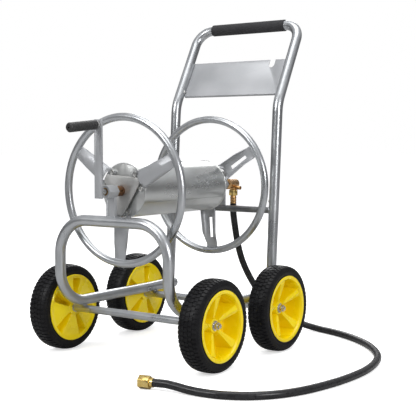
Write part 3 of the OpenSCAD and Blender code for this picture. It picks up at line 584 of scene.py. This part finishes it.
# ---- water way ----
# The swivel, its cross tube and the outlet are cast and turned brass. The nut below the swivel is
# plain machined brass, yellower than the casting, and a crimped brass ferrule holds the hose.
cast_brass = finish("swivel_brass", (0.50, 0.27, 0.10), (0.72, 0.45, 0.20), (0.22, 0.36), metallic=1.0,
                    grain=(90, 90, 90))
yellow_brass = finish("nut_brass", (0.68, 0.47, 0.13), (0.86, 0.66, 0.27), (0.16, 0.28), metallic=1.0,
                      grain=(120, 120, 120))
seal_black = finish("seal_rubber", (0.02, 0.02, 0.02), (0.04, 0.04, 0.04), (0.5, 0.65))
softened("swivel_elbow", "root", cast_brass, radius=0.9 * MM)
softened("inlet_nut", "root", yellow_brass)
softened("inlet_ferrule", "root", cast_brass)
softened("outlet_fitting", "reel", yellow_brass)
wear_nodes(cast_brass, "water_pipe")
softened("coupling_nut", "coupling_nut", yellow_brass, radius=0.9 * MM)
wear_nodes(yellow_brass, "hose_tail")
wear_nodes(seal_black, "swivel_seal", "coupling_washer")


# ---- foam grip ----
# A sleeve of closed-cell foam rubber on the handle's top bar, charcoal and matt, a little rounded
# at its cut ends.
def turned(outline, steps):
    """A closed solid turned about z from an outline of (along, radius) points."""
    bm = bmesh.new()
    corners = [bm.verts.new((radius, 0, along)) for along, radius in outline]
    ring = [bm.edges.new((a, b)) for a, b in zip(corners, corners[1:] + corners[:1])]
    bmesh.ops.spin(bm, geom=corners + ring, cent=(0, 0, 0), axis=(0, 0, 1), angle=2 * math.pi,
                   steps=steps, use_merge=True)
    bmesh.ops.remove_doubles(bm, verts=bm.verts, dist=1e-6)
    bmesh.ops.recalc_face_normals(bm, faces=bm.faces)
    return bm


foam = finish("foam", (0.016, 0.016, 0.018), (0.034, 0.034, 0.037), (0.75, 0.92), grain=(30, 30, 30),
              grit=1500, relief=0.5)
grip_low, grip_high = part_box("handle_grip")
grip_mid = (grip_low + grip_high) / 2
grip_half = (grip_high.x - grip_low.x) / 2
grip_r = (grip_high.z - grip_low.z) / 2
END_R = 3 * MM
grip_outline = [(-grip_half, TUBE_R + 0.1 * MM), (-grip_half, grip_r - END_R)]
for k in range(1, 6):
    turn = math.pi / 2 * k / 5
    grip_outline.append((-grip_half + END_R * (1 - math.cos(turn)), grip_r - END_R * (1 - math.sin(turn))))
grip_outline += [(-along, radius) for along, radius in reversed(grip_outline)]
grip_bm = turned(grip_outline, 64)
grip_place = Matrix.Translation(grip_mid) @ Matrix.Rotation(math.pi / 2, 4, "Y")
grip = make_piece("foam_grip", grip_bm, grip_place, "root", foam)
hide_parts("handle_grip")


# ---- crank grip ----
# A moulded black rubber grip with shallow finger ribs and a vent hole in its end; it turns on the
# crank pin.
grip_black = finish("grip_rubber", (0.012, 0.012, 0.012), (0.028, 0.028, 0.028), (0.38, 0.52),
                    grain=(80, 80, 80), grit=1200, relief=0.2)
wear_nodes(grip_black, "crank_grip")


# ---- wheels ----
# Semi-pneumatic tyres of black rubber: a plain sidewall with a ring of short ribs near the
# shoulder, and a tread of staggered blocks.
tyre_black = finish("tyre_rubber", (0.004, 0.004, 0.005), (0.010, 0.010, 0.011), (0.34, 0.48),
                    grain=(50, 50, 50), grit=900, relief=0.25, shine=0.18)
rim_yellow = finish("rim_plastic", (0.97, 0.72, 0.0), (1.0, 0.79, 0.002), (0.22, 0.32), grain=(18, 18, 18),
                    grit=500, relief=0.03, coat=0.2)
TYRE_STEPS = 240
PITCH = 4
TREAD_DEPTH = 2.6 * MM
tyre_half = (tyre_high.x - tyre_low.x) / 2
tyre_r = (tyre_high.z - tyre_low.z) / 2
# Half of the section, from the bead up the sidewall and across to the middle of the tread: how far
# in from the tyre's side, and how far in from its outside
SECTION = [(3.2, 38.6), (1.0, 33.0), (0.6, 27.5), (1.4, 26.0), (0.5, 24.5), (0.3, 18.5), (0.8, 12.0),
           (3.0, 7.6), (7.5, 5.0), (14.0, 3.5), (19.0, 2.9), (25.5, 2.6)]
half_section = [(tyre_half - inset * MM, tyre_r - drop * MM) for inset, drop in SECTION]
tyre_section = half_section + [(-along, radius) for along, radius in reversed(half_section)]
# Where the block rows and the sidewall ribs lie, measured in from the tyre's middle and outside
SHOULDER_AT = half_section[9][0]
RUNNER_AT = half_section[11][0] + 1 * MM
TREAD_BAND = 8.2 * MM
RIB_FROM, RIB_TO, RIB_HEIGHT = 18 * MM, 12.5 * MM, 0.5 * MM
BLOCK_TAPER = 0.88


def tyre_mesh():
    """The tyre's body, turned, with raised sidewall ribs and tread blocks."""
    bm = turned(tyre_section, TYRE_STEPS)
    blocks = {}
    ribs = {}
    for face in bm.faces:
        centre = face.calc_center_median()
        radius = math.hypot(centre.x, centre.y)
        step = int((math.atan2(centre.y, centre.x) + math.pi) / (2 * math.pi) * TYRE_STEPS)
        along = abs(centre.z)
        hand = 1 if centre.z > 0 else -1
        if radius > tyre_r - TREAD_BAND:
            row = 0 if along > SHOULDER_AT else 1 if along > RUNNER_AT else 2
            if row == 2:
                hand = 1
            shift = {0: 0, 1: 2, 2: 0}[row] + (2 if hand < 0 and row == 0 else 0)
            place = (step + shift) % TYRE_STEPS
            if place % PITCH != 0 or row == 2:
                if row == 2 and (step + 1) % PITCH == 0:
                    continue
                blocks.setdefault((row, hand, place // PITCH), []).append(face)
        elif tyre_r - RIB_FROM < radius < tyre_r - RIB_TO and step % 3 != 0:
            ribs.setdefault((hand, step // 3), []).append(face)
    for faces in ribs.values():
        raised = bmesh.ops.extrude_face_region(bm, geom=faces)["geom"]
        corners = [v for v in raised if isinstance(v, bmesh.types.BMVert)]
        out = 1 if corners[0].co.z > 0 else -1
        bmesh.ops.translate(bm, verts=corners, vec=(0, 0, out * RIB_HEIGHT))
        bmesh.ops.delete(bm, geom=faces, context="FACES_ONLY")
    for faces in blocks.values():
        raised = bmesh.ops.extrude_face_region(bm, geom=faces)["geom"]
        corners = [v for v in raised if isinstance(v, bmesh.types.BMVert)]
        heart = sum((v.co for v in corners), Vector()) / len(corners)
        for v in corners:
            v.co = heart + (v.co - heart) * BLOCK_TAPER
            radius = math.hypot(v.co.x, v.co.y)
            grow = min(radius + TREAD_DEPTH, tyre_r) / radius
            v.co.x *= grow
            v.co.y *= grow
        bmesh.ops.delete(bm, geom=faces, context="FACES_ONLY")
    bmesh.ops.recalc_face_normals(bm, faces=bm.faces)
    return bm


# The rims are moulded in bright yellow plastic: a deep dish towards the cart, five wedge-shaped
# hollow spokes that stand up from it, a long hub and a rolled lip on each side.
RIM_STEPS = 240
SPOKES = 5
FIRST_SPOKE = math.radians(100)
HUB_R, DISH_R = 21 * MM, 82 * MM
hub_face = tyre_half - 27 * MM
SPOKE_RISE = 20 * MM


def spoke_share(radius, turn, thin):
    """How much of a spoke stands at this place, from 0 on the dish to 1 on the spoke's top."""
    pitch = 2 * math.pi / SPOKES
    off = abs((turn - FIRST_SPOKE + pitch / 2) % pitch - pitch / 2) * radius
    half = mix(5, 13.5, (radius - HUB_R) / (DISH_R - HUB_R)) * MM - thin
    crown = 1 + 0.08 * mix(1, 0, off / half)
    return crown * mix(0, 1, (half + 4 * MM - off) / (5 * MM))


def rim_mesh():
    """The rim, turned from its section, with the wedge spokes pushed up out of the dish."""
    # The dish's front and back are (radius, along), the rest of the section is (along, radius)
    dish = [(23, -30), (26, -31), (34, -30.5), (44, -30), (54, -29.5), (64, -29), (74, -28.5), (81, -27)]
    back = [(88, -33.2), (80, -33), (70, -33.2), (60, -33.6), (50, -34), (40, -34.6), (30, -35.4), (25, -36)]
    outline = [(5, 6.1), (5, 17.5), (4.2, 19), (0, 20.5), *((z, r) for r, z in dish), (-22, 84), (20, 85.5),
               (29, 86.5), (32.4, 88.5), (33.3, 91), (33.4, 96.6), (32.6, 98), (31.9, 98), (31.9, 88.4),
               (-32, 88.4), (-32, 98), (-34.6, 98), (-35.5, 96.6), (-35.3, 92), *((z, r) for r, z in back),
               (-38, 22.5), (-38, 6.1)]
    bm = turned([(along * MM, radius * MM) for along, radius in outline], RIM_STEPS)
    for v in bm.verts:
        radius = math.hypot(v.co.x, v.co.y)
        turn = math.atan2(v.co.y, v.co.x)
        top = mix(hub_face - 1.5 * MM, hub_face + SPOKE_RISE, (radius - HUB_R) / (DISH_R - HUB_R))
        if 22 * MM < radius < 86 * MM and -32 * MM < v.co.z < top:
            v.co.z += (top - v.co.z) * spoke_share(radius, turn, 0)
        elif 24 * MM < radius < 81 * MM and v.co.z < -32.5 * MM:
            v.co.z += (top - v.co.z) * 0.55 * min(spoke_share(radius, turn, 3 * MM), 1)
    return bm


for place in ("front_right", "rear_right", "front_left", "rear_left"):
    low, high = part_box("tyre_" + place)
    centre = (low + high) / 2
    facing = Matrix.Rotation(math.pi / 2, 4, "Z") @ Matrix.Rotation(math.pi / 2, 4, "X")
    if "left" in place:
        facing = Matrix.Rotation(math.pi, 4, "Z") @ facing
    stand = Matrix.Translation(centre) @ facing
    body = place + "_wheel"
    tread = make_piece("tread_" + place, tyre_mesh(), stand, body, tyre_black, 30)
    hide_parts("tyre_" + place)
    wheel = make_piece("disc_" + place, rim_mesh(), stand, body, rim_yellow, 28)
    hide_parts("rim_" + place)


low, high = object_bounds()
